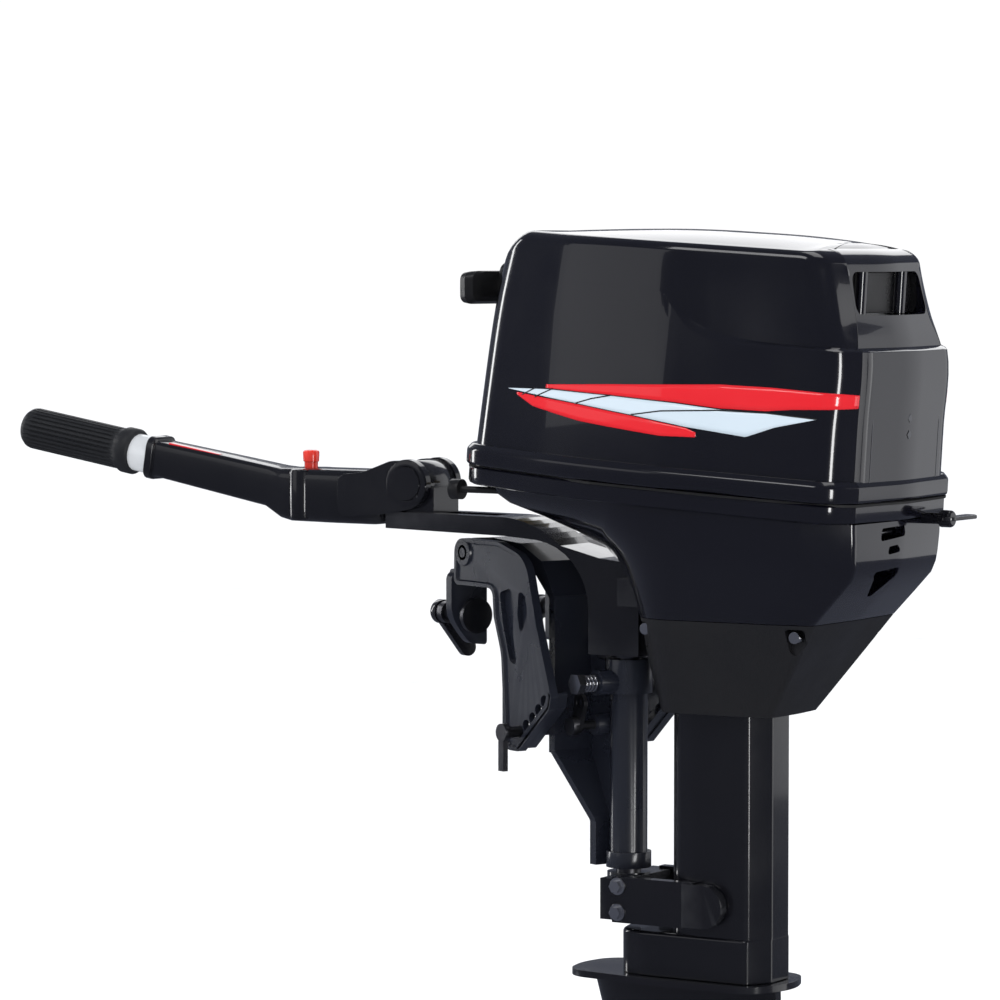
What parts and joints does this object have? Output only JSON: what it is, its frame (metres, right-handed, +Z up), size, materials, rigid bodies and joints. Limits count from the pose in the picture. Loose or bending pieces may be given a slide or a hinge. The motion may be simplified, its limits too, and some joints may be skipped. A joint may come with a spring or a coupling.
{
  "type": "outboard motor",
  "caption": "Portable two-stroke outboard motor with tiller steering, clamp bracket, cowled powerhead, leg and three-blade propeller.",
  "frame": {"origin": "transom seat: top of the transom at its aft face, on the clamp's centre plane", "axes": "-X ahead into the boat, +X aft, +Y to starboard, +Z up; the motor is steered 24 degrees at rest, tiller to port"},
  "size_m": [0.8981, 0.4914, 1.0022],
  "materials": {
    "paint_black": "gloss black paint on cast alloy",
    "clamp_paint": "blue-black paint on cast alloy",
    "cowl_gloss": "gloss black moulding",
    "apron_plastic": "satin black moulding",
    "grip_rubber": "fluted black rubber",
    "seal_rubber": "black rubber",
    "zinc_steel": "bright zinc-plated steel",
    "dark_steel": "dark steel",
    "cast_alloy": "cast alloy",
    "black_plastic": "black plastic",
    "red_plastic": "red plastic",
    "zinc": "sacrificial anode",
    "brass": "brass"
  },
  "bodies": {
    "clamp": {"clamp_bracket_port": "clamp_paint", "clamp_bracket_starboard": "clamp_paint", "tilt_bolt": "zinc_steel", "bracket_tie": "dark_steel"},
    "tilt_pin": {"tilt_pin": "zinc_steel"},
    "clamp_screw_port": {"clamp_screw_port": "zinc_steel"},
    "clamp_screw_starboard": {"clamp_screw_starboard": "zinc_steel"},
    "clamp_handle_port": {"clamp_handle_port": "paint_black"},
    "clamp_handle_starboard": {"clamp_handle_starboard": "paint_black"},
    "swivel": {"swivel_bracket": "clamp_paint"},
    "friction_bolt": {"friction_bolt": "zinc_steel"},
    "reverse_lock": {"reverse_lock": "dark_steel"},
    "motor": {"steering_bracket": "paint_black", "steering_shaft": "dark_steel", "lower_mount": "paint_black", "mount_rubbers": "seal_rubber", "mount_bolts": "zinc_steel", "driveshaft_housing": "paint_black", "gearcase": "paint_black", "bearing_carrier": "cast_alloy", "anode": "zinc", "bottom_cowl": "cowl_gloss", "apron": "apron_plastic", "apron_screws": "zinc_steel", "cowl_seal": "seal_rubber", "top_cowl": "cowl_gloss", "crankcase": "cast_alloy", "cylinder_head": "cast_alloy", "spark_plugs": "zinc_steel", "carburettor": "cast_alloy", "ignition_box": "black_plastic", "recoil_case": "black_plastic", "exhaust_tube": "dark_steel", "water_tube": "brass", "pump_housing": "cast_alloy", "fuel_connector": "brass"},
    "cowl_latch": {"cowl_latch": "black_plastic"},
    "crank": {"crankshaft": "dark_steel", "flywheel": "dark_steel", "drive_shaft": "dark_steel", "pump_impeller": "seal_rubber", "pinion_gear": "dark_steel"},
    "piston_upper": {"piston_upper": "cast_alloy"},
    "piston_lower": {"piston_lower": "cast_alloy"},
    "forward_gear": {"forward_gear": "dark_steel"},
    "reverse_gear": {"reverse_gear": "dark_steel"},
    "dog_clutch": {"dog_clutch": "dark_steel"},
    "propeller": {"propeller_shaft": "zinc_steel", "propeller": "cast_alloy"},
    "shift_lever": {"shift_lever": "black_plastic"},
    "shift_rod": {"shift_rod": "zinc_steel"},
    "choke_knob": {"choke_knob": "black_plastic"},
    "starter_reel": {"starter_reel": "black_plastic"},
    "starter_handle": {"starter_handle": "black_plastic"},
    "tiller": {"tiller_arm": "paint_black", "tiller_bolt": "paint_black"},
    "throttle_grip": {"throttle_grip": "grip_rubber", "throttle_shaft": "zinc_steel"},
    "stop_button": {"stop_button": "red_plastic"}
  },
  "joints": [
    {"name": "tilt_pin_pull", "type": "slide", "parent": "clamp", "child": "tilt_pin", "axis": [0, -1, 0], "range_m": [0, 0.17]},
    {"name": "clamp_port_travel", "type": "slide", "parent": "clamp", "child": "clamp_screw_port", "axis": [1, 0, 0], "range_m": [-0.007, 0.014]},
    {"name": "clamp_starboard_travel", "type": "slide", "parent": "clamp", "child": "clamp_screw_starboard", "axis": [1, 0, 0], "range_m": [-0.007, 0.014]},
    {"name": "clamp_port_turn", "type": "hinge", "parent": "clamp_screw_port", "child": "clamp_handle_port", "pos_m": [-0.1, -0.054, -0.034], "axis": [1, 0, 0], "continuous": true},
    {"name": "clamp_starboard_turn", "type": "hinge", "parent": "clamp_screw_starboard", "child": "clamp_handle_starboard", "pos_m": [-0.1, 0.054, -0.034], "axis": [1, 0, 0], "continuous": true},
    {"name": "tilt", "type": "hinge", "parent": "clamp", "child": "swivel", "pos_m": [-0.048, 0, 0.024], "axis": [0, -1, 0], "range_deg": [0, 50]},
    {"name": "friction_adjust", "type": "hinge", "parent": "swivel", "child": "friction_bolt", "pos_m": [0.106, -0.05, -0.083], "axis": [0, 1, 0], "range_deg": [-90, 90]},
    {"name": "reverse_lock_turn", "type": "hinge", "parent": "swivel", "child": "reverse_lock", "pos_m": [0.086, 0, -0.122], "axis": [0, 1, 0], "range_deg": [-20, 12]},
    {"name": "steer", "type": "hinge", "parent": "swivel", "child": "motor", "pos_m": [0.106, 0, 0], "axis": [0, 0, 1], "range_deg": [-64, 16]},
    {"name": "cowl_latch_turn", "type": "hinge", "parent": "motor", "child": "cowl_latch", "pos_m": [0.35303, 0.15815, 0.067], "axis": [0.9135, 0.4067, 0], "range_deg": [-75, 0]},
    {"name": "crank_spin", "type": "hinge", "parent": "motor", "child": "crank", "pos_m": [0.19279, 0.03864, 0], "axis": [0, 0, 1], "continuous": true},
    {"name": "piston_upper_stroke", "type": "slide", "parent": "motor", "child": "piston_upper", "axis": [0.9135, 0.4067, 0], "range_m": [-0.022, 0.022]},
    {"name": "piston_lower_stroke", "type": "slide", "parent": "motor", "child": "piston_lower", "axis": [0.9135, 0.4067, 0], "range_m": [-0.022, 0.022]},
    {"name": "forward_gear_spin", "type": "hinge", "parent": "motor", "child": "forward_gear", "pos_m": [0.17908, 0.03254, -0.56], "axis": [0.9135, 0.4067, 0], "continuous": true},
    {"name": "reverse_gear_spin", "type": "hinge", "parent": "motor", "child": "reverse_gear", "pos_m": [0.20649, 0.04474, -0.56], "axis": [0.9135, 0.4067, 0], "continuous": true},
    {"name": "dog_clutch_slide", "type": "slide", "parent": "motor", "child": "dog_clutch", "axis": [0.9135, 0.4067, 0], "range_m": [-0.0041, 0.0041]},
    {"name": "propeller_spin", "type": "hinge", "parent": "motor", "child": "propeller", "pos_m": [0.28871, 0.08135, -0.56], "axis": [0.9135, 0.4067, 0], "continuous": true},
    {"name": "shift_lever_turn", "type": "hinge", "parent": "motor", "child": "shift_lever", "pos_m": [0.03485, 0.11063, 0.066], "axis": [-0.4067, 0.9135, 0], "range_deg": [-18, 18]},
    {"name": "shift_rod_slide", "type": "slide", "parent": "motor", "child": "shift_rod", "axis": [0, 0, 1], "range_m": [-0.0061, 0.0061]},
    {"name": "choke_pull", "type": "slide", "parent": "motor", "child": "choke_knob", "axis": [-0.9135, -0.4067, 0], "range_m": [0, 0.02]},
    {"name": "starter_pull", "type": "slide", "parent": "motor", "child": "starter_handle", "axis": [-0.9744, -0.225, 0], "range_m": [0, 0.2], "stiffness_N_per_m": 60, "springref_m": -0.05},
    {"name": "starter_reel_turn", "type": "hinge", "parent": "motor", "child": "starter_reel", "pos_m": [0.19279, 0.03864, 0.264], "axis": [0, 0, 1], "range_deg": [-250, 1]},
    {"name": "tiller_fold", "type": "hinge", "parent": "motor", "child": "tiller", "pos_m": [-0.09041, -0.08745, 0.086], "axis": [0.4067, -0.9135, 0], "range_deg": [-90, 0]},
    {"name": "throttle_twist", "type": "hinge", "parent": "tiller", "child": "throttle_grip", "pos_m": [-0.23201, -0.15049, 0.078], "axis": [-0.9015, -0.4014, 0.1616], "range_deg": [0, 95]},
    {"name": "stop_push", "type": "slide", "parent": "tiller", "child": "stop_button", "axis": [0, 0, -1], "range_m": [0, 0.004], "stiffness_N_per_m": 300, "springref_m": -0.002}
  ],
  "couplings": [
    {"joint": "piston_lower_stroke", "follows": "piston_upper_stroke", "ratio": -1},
    {"joint": "forward_gear_spin", "follows": "crank_spin", "ratio": 0.48148},
    {"joint": "reverse_gear_spin", "follows": "crank_spin", "ratio": -0.48148},
    {"joint": "dog_clutch_slide", "follows": "shift_lever_turn", "m_per_rad": 0.012732},
    {"joint": "shift_rod_slide", "follows": "shift_lever_turn", "m_per_rad": 0.019099},
    {"joint": "starter_reel_turn", "follows": "starter_pull", "rad_per_m": -21.322}
  ]
}
